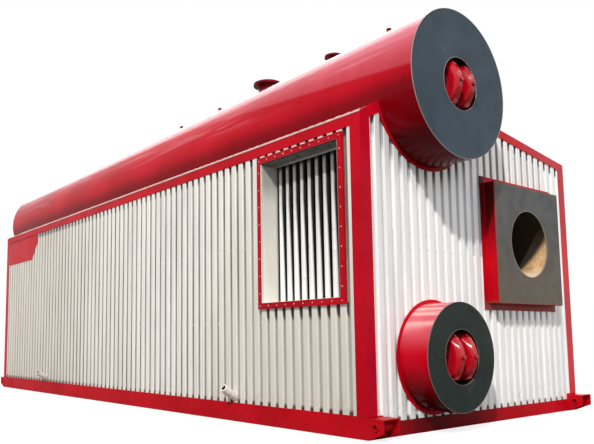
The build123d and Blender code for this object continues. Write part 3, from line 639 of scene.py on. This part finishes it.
# Painted highlight: pale pink-white paint for the bead that stands in for the eave trim's lit edge
eave_highlight_paint = red_paint("eave_highlight_paint", (0.90, 0.74, 0.70), (0.80, 0.58, 0.55), 0.40, 0.0005, edge=0.001)
side_sheet = casing_sheet("side_sheet", 0, 0.97, (0.95, 0.92, 0.865), DECK_TOP)
end_sheet = casing_sheet("end_sheet", 1, 0.12, (0.92, 0.92, 0.91), SKIRT_FOOT)
roof_sheet = roof_paint()
cover_grey = cover_paint()
tube_silver = silver_paint("tube_silver", (0.96, 0.955, 0.93), (0.84, 0.83, 0.80), 0.26, tube_form)
liner_silver = silver_paint("liner_silver", (0.93, 0.91, 0.84), (0.82, 0.79, 0.72), 0.36, liner_form)
stub_steel = silver_paint("fitting_steel", (0.90, 0.88, 0.83), (0.66, 0.61, 0.54), 0.34, stub_form, 1.0)
zinc = zinc_plating()

# Looks of the nodes from the part, red_sheet where none is named
NODE_LOOKS = {
    "left_wall_front": side_sheet,
    "left_wall_rear": side_sheet,
    "left_wall_over_window": side_sheet,
    "left_wall_under_window": side_sheet,
    "right_wall": side_sheet,
    "front_wall": end_sheet,
    "rear_wall": end_sheet,
    "roof_left": roof_sheet,
    "roof_right": roof_sheet,
    "burner_box": red_box,
    "burner_plate": plate_primer(),
    "burner_throat": refractory(),
    "flue_window_frame": red_surround,
    "flue_liner": liner_silver,
    "tube_row_outer": tube_silver,
    "tube_row_inner": tube_silver,
    "drain_couplings": stub_steel,
    "steam_outlet_nozzle": red_fitting_shaded,
    "safety_valve_nozzle": red_fitting_shaded,
    "drum_couplings": red_fitting_shaded,
    "base_cross_members": red_cross,
    "deck_plate": red_frame,
    "towing_sleeves": red_frame,
}
for side in ("left", "right"):
    NODE_LOOKS[f"base_{side}_webs"] = red_frame
    NODE_LOOKS[f"base_{side}_flanges"] = red_frame
for drum in ("upper", "lower"):
    NODE_LOOKS[f"{drum}_end_covers"] = cover_grey
    NODE_LOOKS[f"{drum}_heads"] = head_in_shade
    NODE_LOOKS[f"{drum}_manhole_plates"] = red_casting
    NODE_LOOKS[f"{drum}_yokes"] = red_yoke
    for shell in ("drum_shell", "lagging_sleeves", "lagging_blocks"):
        NODE_LOOKS[f"{drum}_{shell}"] = red_drum

for label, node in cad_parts.items():
    look = NODE_LOOKS.get(label, red_sheet)
    if not node.material_slots:
        node.data.materials.append(look)
    for material_slot in node.material_slots:
        material_slot.material = look


class Piece:
    """Points and faces gathered for one object, in metres."""

    def __init__(self, name, material, slot):
        self.name, self.material, self.slot = name, material, slot
        self.points, self.faces = [], []

    def add(self, points, faces, place=Matrix()):
        first = len(self.points)
        self.points.extend(tuple(place @ Vector(point)) for point in points)
        self.faces.extend([first + index for index in face] for face in faces)

    def turned(self, profile, place, sides=12):
        """Turned form from (radius, height) pairs along the local z, with closed ends."""
        points = [(x, y, height) for radius, height in profile for x, y in circle(sides, radius)]
        faces = []
        for low in range(0, (len(profile) - 1) * sides, sides):
            for i in range(sides):
                j = (i + 1) % sides
                faces.append((low + i, low + j, low + sides + j, low + sides + i))
        last = (len(profile) - 1) * sides
        faces.append(tuple(reversed(range(sides))))
        faces.append(tuple(last + i for i in range(sides)))
        self.add(points, faces, place)

    def screw(self, point, outward, size=1.0):
        """Hexagon head on a round washer."""
        place = on_face(point, outward) @ Matrix.Scale(size, 4)
        self.turned([(0.0095, 0.0), (0.0095, 0.0012), (0.0078, 0.0020)], place, 14)
        self.turned([(0.0058, 0.0015), (0.0058, 0.0060), (0.0047, 0.0072)], place, 6)

    def nut(self, point, outward, across, height):
        """Hexagon nut with chamfered corners on a washer."""
        place = on_face(point, outward)
        corner = across / 2 / cos(pi / 6)
        top, chamfer, washer = corner * 0.90, height * 0.16, 0.003
        rim = corner * 1.12
        self.turned([(rim, 0.0), (rim, washer), (corner * 1.06, washer + 0.001)], place, 24)
        profile = [(top, washer), (corner, washer + chamfer), (corner, height - chamfer), (top, height)]
        self.turned(profile, place, 6)

    def bead(self, path, radius, closed=False, ripple=0.16, seed=1):
        """Weld run or pale highlight bead along a path, its thickness rippled."""
        chance = random.Random(seed)
        count = len(path)
        sides = 6
        points, faces = [], []
        for i, point in enumerate(path):
            before = path[i - 1] if closed or i else path[0]
            after = path[(i + 1) % count] if closed or i < count - 1 else path[-1]
            tangent = (Vector(after) - Vector(before)).normalized()
            across = tangent.orthogonal().normalized()
            if i:
                across = (last_across - tangent * last_across.dot(tangent)).normalized()
            last_across = across
            other = tangent.cross(across)
            size = radius * (1.0 + ripple * sin(1.9 * i) + ripple * (chance.random() - 0.5))
            for a, b in circle(sides, size):
                points.append(tuple(Vector(point) + (across * a + other * b)))
        for i in range(count if closed else count - 1):
            j = (i + 1) % count
            for k in range(sides):
                m = (k + 1) % sides
                faces.append((i * sides + k, i * sides + m, j * sides + m, j * sides + k))
        if not closed:
            faces.append(tuple(reversed(range(sides))))
            faces.append(tuple((count - 1) * sides + k for k in range(sides)))
        self.add(points, faces)

    def build(self):
        mesh = bpy.data.meshes.new(self.name)
        mesh.from_pydata(self.points, [], self.faces)
        mesh.materials.append(self.material)
        mesh.validate()
        for polygon in mesh.polygons:
            polygon.use_smooth = True
        mesh.set_sharp_from_angle(angle=radians(38.0))
        made = bpy.data.objects.new(self.name, mesh)
        bpy.context.scene.collection.objects.link(made)
        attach(made, "root")
        return made


def on_face(point, outward):
    """Placement with the local z along the outward direction."""
    return Matrix.Translation(Vector(point)) @ Vector(outward).to_track_quat("Z", "Y").to_matrix().to_4x4()


def circle(count, radius):
    """Offsets of evenly spaced points round a circle."""
    return [(radius * cos(2 * pi * i / count), radius * sin(2 * pi * i / count)) for i in range(count)]


def run(start, end, step=0.012):
    """Evenly spaced points on a straight line."""
    start, end = Vector(start), Vector(end)
    count = max(2, round((end - start).length / step))
    return [tuple(start.lerp(end, i / count)) for i in range(count + 1)]


def loop(corners, step=0.012):
    """Evenly spaced points round a closed polygon."""
    points = []
    for index, corner in enumerate(corners):
        points.extend(run(corner, corners[(index + 1) % len(corners)], step)[:-1])
    return points


def spaced(low, high, pitch):
    """Places at about the pitch, from low to high."""
    count = max(1, round((high - low) / pitch))
    return [low + (high - low) * i / count for i in range(count + 1)]


def valleys(start, length, count):
    """Every other valley of a run of ribs."""
    return [start + length * (k + 0.5) / count for k in range(0, count, 2)]


def slope_height(x):
    """Height of the roof trims' outer edge at a place across the casing."""
    left = EAVE_LEFT + (x + HALF_WIDTH) * tan(SHOULDER)
    return min(left, EAVE_RIGHT + (HALF_WIDTH - x) * tan(ROOF))


def clear_of_drum(x, z, drum, margin):
    height, radius, _ = drum
    return (x - DRUM_X) ** 2 + (z - height) ** 2 > (radius + margin) ** 2


ENDS = SIDES = (-1, 1)
SQUARE = ((-1, -1), (1, -1), (1, 1), (-1, 1))

# Nuts and stud ends on the yokes of the four manholes
NUT_ACROSS, NUT_HEIGHT = 0.034, 0.021
THREAD_R, THREAD_DEPTH, THREAD_FOOT, THREAD_STEP = 0.0112, 0.0005, 0.0195, 0.0008
nuts = Piece("manhole_nuts", red_casting, "manhole_red")
threads = Piece("manhole_threads", zinc, "coupling_steel")
thread_rows = [(THREAD_R + THREAD_DEPTH * (k % 2), THREAD_FOOT + THREAD_STEP * k) for k in range(4)]
for end in ENDS:
    for height, _, out in DRUMS:
        for side in SIDES:
            place = (DRUM_X + side * YOKE_OFF_X, end * (CREST_Y + out + YOKE_FACE), height)
            nuts.nut(place, (0, end, 0), NUT_ACROSS, NUT_HEIGHT)
            threads.turned(thread_rows, on_face(place, (0, end, 0)), 16)
nuts.build()
threads.build()

# Screws in the trims: corners, gables, drum rings and eaves
TRIM_SCREW, RING_SCREW = 0.75, 0.6
CORNER_LINE, GABLE_LINE, EAVE_LINE, RING_LINE = 0.098, 0.075, 0.020, 0.022
CORNER_PITCH, GABLE_PITCH, EAVE_PITCH = 0.47, 0.24, 0.3625
CORNER_FOOT, CORNER_TOP, GABLE_END, EAVE_END = 0.07, 0.20, 0.05, 0.16
DRUM_MARGIN, HEAD_MARGIN = 0.03, 0.015
RING_SCREWS = 24
trim_screws = Piece("trim_screws", weld_red, "trim_red")
for end in ENDS:
    for side in SIDES:
        top = (EAVE_LEFT if side < 0 else EAVE_RIGHT) - CORNER_TOP
        corner_x, corner_y = side * (HALF_WIDTH - CORNER_LINE), end * (HALF_LENGTH - CORNER_LINE)
        for z in spaced(DECK_TOP + CORNER_FOOT, top, CORNER_PITCH):
            trim_screws.screw((corner_x, end * HALF_LENGTH, z), (0, end, 0), TRIM_SCREW)
            trim_screws.screw((side * HALF_WIDTH, corner_y, z), (side, 0, 0), TRIM_SCREW)
    for x in spaced(-HALF_WIDTH + GABLE_END, HALF_WIDTH - GABLE_END, GABLE_PITCH):
        z = slope_height(x) - GABLE_LINE
        if clear_of_drum(x, z, DRUMS[0], DRUM_MARGIN):
            trim_screws.screw((x, end * HALF_LENGTH, z), (0, end, 0), TRIM_SCREW)
    for height, radius, _ in DRUMS:
        for k in range(RING_SCREWS):
            angle = 2 * pi * (k + 0.5) / RING_SCREWS
            x = DRUM_X + (radius + RING_LINE) * cos(angle)
            z = height + (radius + RING_LINE) * sin(angle)
            if z < slope_height(x) - TRIM_DROP - HEAD_MARGIN:
                trim_screws.screw((x, end * HALF_LENGTH, z), (0, end, 0), RING_SCREW)
for side, eave, slope in ((-1, EAVE_LEFT, SHOULDER), (1, EAVE_RIGHT, ROOF)):
    z = eave - (TRIM_WIDTH / cos(slope) - EAVE_LINE)
    for y in spaced(-HALF_LENGTH + EAVE_END, HALF_LENGTH - EAVE_END, EAVE_PITCH):
        trim_screws.screw((side * HALF_WIDTH, y, z), (side, 0, 0), TRIM_SCREW)
trim_screws.build()

# Bolts round the flue window frame
FRAME_BOLT, BOLT_LINE = 0.65, 0.030
ROW_REACH, ROW_PITCH = WINDOW_HALF_W + 0.025, 0.1208
COLUMN_REACH, COLUMN_PITCH = WINDOW_HALF_H - 0.09, 0.17
frame_bolts = Piece("window_frame_bolts", zinc, "coupling_steel")
for y in spaced(WINDOW_Y - ROW_REACH, WINDOW_Y + ROW_REACH, ROW_PITCH):
    for up_or_down in (1, -1):
        z = WINDOW_Z + up_or_down * (WINDOW_HALF_H + BOLT_LINE)
        frame_bolts.screw((FRAME_FACE_X, y, z), (-1, 0, 0), FRAME_BOLT)
for z in spaced(WINDOW_Z - COLUMN_REACH, WINDOW_Z + COLUMN_REACH, COLUMN_PITCH):
    for side in SIDES:
        y = WINDOW_Y + side * (WINDOW_HALF_W + BOLT_LINE)
        frame_bolts.screw((FRAME_FACE_X, y, z), (-1, 0, 0), FRAME_BOLT)
frame_bolts.build()

# Screws in the valleys of the casing and roof sheets
SCREW_ROWS = (DECK_TOP + 0.045, 0.98, 1.74, 2.50)
GABLE_SCREW_ROW = 2.82
ROOF_SCREW_ROWS = (0.16, 0.95, 1.72)
SCREW_CLEARANCE, BOX_CLEARANCE, GABLE_CLEARANCE = 0.06, 0.69, 0.13
WINDOW_GAP = ROOF_CREST_DROP = 0.005
sheet_screws = Piece("sheet_screws", zinc, "coupling_steel")
window_rear = WINDOW_Y + WINDOW_HALF_W + WINDOW_GAP
left_valleys = valleys(CREST_Y, -(CREST_Y - window_rear), SIDE_RIBS_BEHIND_WINDOW)
right_valleys = valleys(-CREST_Y, 2 * CREST_Y, SIDE_RIBS)
for side, places in ((-1, left_valleys), (1, right_valleys)):
    for y in places:
        for z in SCREW_ROWS:
            sheet_screws.screw((side * (CREST_X - RIB_DEPTH), y, z), (side, 0, 0))
for end in ENDS:
    for x in valleys(-END_RIBS_HALF, 2 * END_RIBS_HALF, END_RIBS):
        for z in (*SCREW_ROWS, GABLE_SCREW_ROW):
            clear = all(clear_of_drum(x, z, drum, SCREW_CLEARANCE) for drum in DRUMS)
            from_box = max(abs(x - BURNER_X), abs(z - BURNER_Z))
            behind_box = end < 0 and from_box < BOX_CLEARANCE
            if clear and not behind_box and z < slope_height(x) - GABLE_CLEARANCE:
                sheet_screws.screw((x, end * (CREST_Y - RIB_DEPTH), z), (0, end, 0))
roof_out = Vector((sin(ROOF), 0, cos(ROOF)))
for y in right_valleys:
    for distance in ROOF_SCREW_ROWS:
        point = Vector((HALF_WIDTH - distance * cos(ROOF), y, EAVE_RIGHT + distance * sin(ROOF)))
        sheet_screws.screw(point - roof_out * (ROOF_CREST_DROP + RIB_DEPTH), roof_out)
sheet_screws.build()

# Weld runs: drum fittings, burner box and plate, towing sleeves, deck corners and mitres of the window frame
WELD_STEP, WELD_OFF, NOZZLE_FROM_R, NOZZLE_WELD, COUPLING_WELD = 0.009, 0.002, 0.04, 0.006, 0.004
BOX_WELD, PLATE_WELD, SLEEVE_WELD, DECK_WELD, MITRE_WELD = 0.0045, 0.0030, 0.0045, 0.0035, 0.0022
DECK_WELD_LENGTH = 0.116
welds = Piece("weld_runs", weld_red, "trim_red")
for y, radius in DRUM_FITTINGS:
    count = max(16, round(2 * pi * radius / WELD_STEP))
    ring = [
        (DRUM_X + off_x, y + off_y, UPPER_Z + sqrt(UPPER_R**2 - off_x**2))
        for off_x, off_y in circle(count, radius + WELD_OFF)
    ]
    size = NOZZLE_WELD if radius > NOZZLE_FROM_R else COUPLING_WELD
    welds.bead(ring, size, closed=True, seed=3)
reach = BURNER_HALF + 0.001
for y, size, seed in ((CREST_Y + 0.009, BOX_WELD, 4), (HALF_LENGTH + BURNER_PLATE_BACK, PLATE_WELD, 5)):
    corners = [(BURNER_X + i * reach, -y, BURNER_Z + j * reach) for i, j in SQUARE]
    welds.bead(loop(corners), size, closed=True, seed=seed)
for side in SIDES:
    for end in ENDS:
        ring = [
            (side * (HALF_WIDTH + 0.001), end * TOWING_Y + off_y, TOWING_Z + off_z)
            for off_y, off_z in circle(26, TOWING_R + 0.001)
        ]
        welds.bead(ring, SLEEVE_WELD, closed=True, seed=6)
        near = Vector((side * (HALF_WIDTH - 0.002), end * (HALF_LENGTH - 0.002), DECK_TOP + 0.001))
        welds.bead(run(near, near - Vector((side * DECK_WELD_LENGTH, 0, 0))), DECK_WELD, seed=7)
        welds.bead(run(near, near - Vector((0, end * DECK_WELD_LENGTH, 0))), DECK_WELD, seed=8)
for i, j in SQUARE:
    inner, outer = (
        (FRAME_FACE_X, WINDOW_Y + i * (WINDOW_HALF_W + width), WINDOW_Z + j * (WINDOW_HALF_H + width))
        for width in (0.0, WINDOW_BAR)
    )
    welds.bead(run(inner, outer, 0.008), MITRE_WELD, seed=9)
welds.build()

# Weld runs round the feet of the drain stubs
STUB_WELD = 0.0055
stub_welds = Piece("stub_welds", stub_steel, "coupling_steel")
for y in STUBS_Y:
    ring = [
        (-CREST_X - 0.001, y + off_y, STUB_FOOT_Z + off_z / cos(STUB_LEAN))
        for off_y, off_z in circle(30, STUB_R)
    ]
    stub_welds.bead(ring, STUB_WELD, closed=True, seed=10)
stub_welds.build()

# Pale bead along the left eave, a painted highlight on the eave trim's top edge
EAVE_BEAD_R, EAVE_BEAD_STEP = 0.0055, 0.05
highlight_beads = Piece("eave_highlight_bead", eave_highlight_paint, "trim_red")
eave_ends = [(-HALF_WIDTH, end * HALF_LENGTH, EAVE_LEFT) for end in ENDS]
highlight_beads.bead(run(*eave_ends, EAVE_BEAD_STEP), EAVE_BEAD_R, ripple=0.10, seed=11)
highlight_beads.build()

# Rounded rims of the end covers
RIM_R, RIM_IN = 0.0022, 0.0012
rims = Piece("cover_rims", cover_grey, "cover_grey")
for end in ENDS:
    for height, radius, out in DRUMS:
        for reach in (radius - RIM_IN, OPENING_R + RIM_IN):
            ring = [(DRUM_X + x, end * (CREST_Y + out), height + z) for x, z in circle(96, reach)]
            rims.bead(ring, RIM_R, closed=True, ripple=0.04, seed=12)
rims.build()

# Rivets along the top of the blank name plate, and along its bottom behind the cut corner
RIVET = ((0.006, 0.0), (0.0055, 0.0015), (0.0030, 0.0030))
TOP_RIVETS, BOTTOM_RIVETS, BOTTOM_FROM = 0.025, 0.365, 3.2
RIVET_END, RIVET_PITCH = 0.03, 0.335
rivets = Piece("plate_rivets", weld_red, "trim_red")
plate_top = EAVE_LEFT - TRIM_WIDTH / cos(SHOULDER) - PLATE_DROP
for y in spaced(PLATE_FRONT + RIVET_END, PLATE_FRONT + PLATE_LENGTH - RIVET_END, RIVET_PITCH):
    for drop in (TOP_RIVETS, BOTTOM_RIVETS) if y > BOTTOM_FROM else (TOP_RIVETS,):
        rivets.turned(RIVET, on_face((-CREST_X - PLATE_THICK, y, plate_top - drop), (-1, 0, 0)))
rivets.build()

# Bar across the top of the flue window recess, in front of the tubes
BAR_IN = 0.150
bar = Piece("recess_bar", zinc, "coupling_steel")
bar_x = -CREST_X + BAR_IN
section = [(0.0, 0.0), (0.0, -0.018), (0.003, -0.021), (0.006, -0.018), (0.006, 0.0)]
corners = len(section)
points = [
    (bar_x + x, WINDOW_Y + side * WINDOW_HALF_W, RECESS_TOP + z) for side in SIDES for x, z in section
]
faces = [(k, (k + 1) % corners, (k + 1) % corners + corners, k + corners) for k in range(corners)]
faces += [tuple(reversed(range(corners))), tuple(range(corners, 2 * corners))]
bar.add(points, faces)
bar.build()

# Floor
FLOOR_R = 70
floor_mesh = bpy.data.meshes.new("studio_floor")
floor_mesh.from_pydata([(x, y, 0.0) for x, y in circle(64, FLOOR_R)], [], [tuple(range(64))])
floor = bpy.data.objects.new("studio_floor", floor_mesh)
floor_mesh.materials.append(studio_floor())
bpy.context.scene.collection.objects.link(floor)

# Background: white for camera, glossy and transmission rays, soft light for the others
world = bpy.data.worlds.new("studio")
bpy.context.scene.world = world
world.use_nodes = True
sky = world.node_tree
sky.nodes.clear()
sky_output = sky.nodes.new("ShaderNodeOutputWorld")
soft = sky.nodes.new("ShaderNodeBackground")
soft.inputs["Color"].default_value = (0.97, 0.98, 1.0, 1.0)
soft.inputs["Strength"].default_value = 0.34
clear = sky.nodes.new("ShaderNodeBackground")
clear.inputs["Color"].default_value = (1.0, 1.0, 1.0, 1.0)
clear.inputs["Strength"].default_value = 1.0
path = sky.nodes.new("ShaderNodeLightPath")
camera_or_glossy = sky.nodes.new("ShaderNodeMath")
camera_or_glossy.operation = "MAXIMUM"
any_clear = sky.nodes.new("ShaderNodeMath")
any_clear.operation = "MAXIMUM"
choose = sky.nodes.new("ShaderNodeMixShader")
sky.links.new(path.outputs["Is Camera Ray"], camera_or_glossy.inputs[0])
sky.links.new(path.outputs["Is Glossy Ray"], camera_or_glossy.inputs[1])
sky.links.new(camera_or_glossy.outputs[0], any_clear.inputs[0])
sky.links.new(path.outputs["Is Transmission Ray"], any_clear.inputs[1])
sky.links.new(any_clear.outputs[0], choose.inputs[0])
sky.links.new(soft.outputs[0], choose.inputs[1])
sky.links.new(clear.outputs[0], choose.inputs[2])
sky.links.new(choose.outputs[0], sky_output.inputs[0])

# Lamps: name, energy, angle in degrees, colour and direction
LAMPS = (
    ("key", 2.6, 2.0, (1.0, 0.98, 0.95), (1.6, 1.0, -1.6)),
    ("fill", 0.92, 60.0, (1.0, 1.0, 1.0), (0.15, 1.0, -0.35)),
    ("rim", 1.8, 60.0, (1.0, 1.0, 1.0), (-0.60, -0.75, -0.45)),
)
for name, energy, angle, color, direction in LAMPS:
    lamp_data = bpy.data.lights.new(name, "SUN")
    lamp_data.energy = energy
    lamp_data.angle = radians(angle)
    lamp_data.color = color
    lamp = bpy.data.objects.new(name, lamp_data)
    lamp.rotation_euler = Vector(direction).to_track_quat("-Z", "Y").to_euler()
    bpy.context.scene.collection.objects.link(lamp)
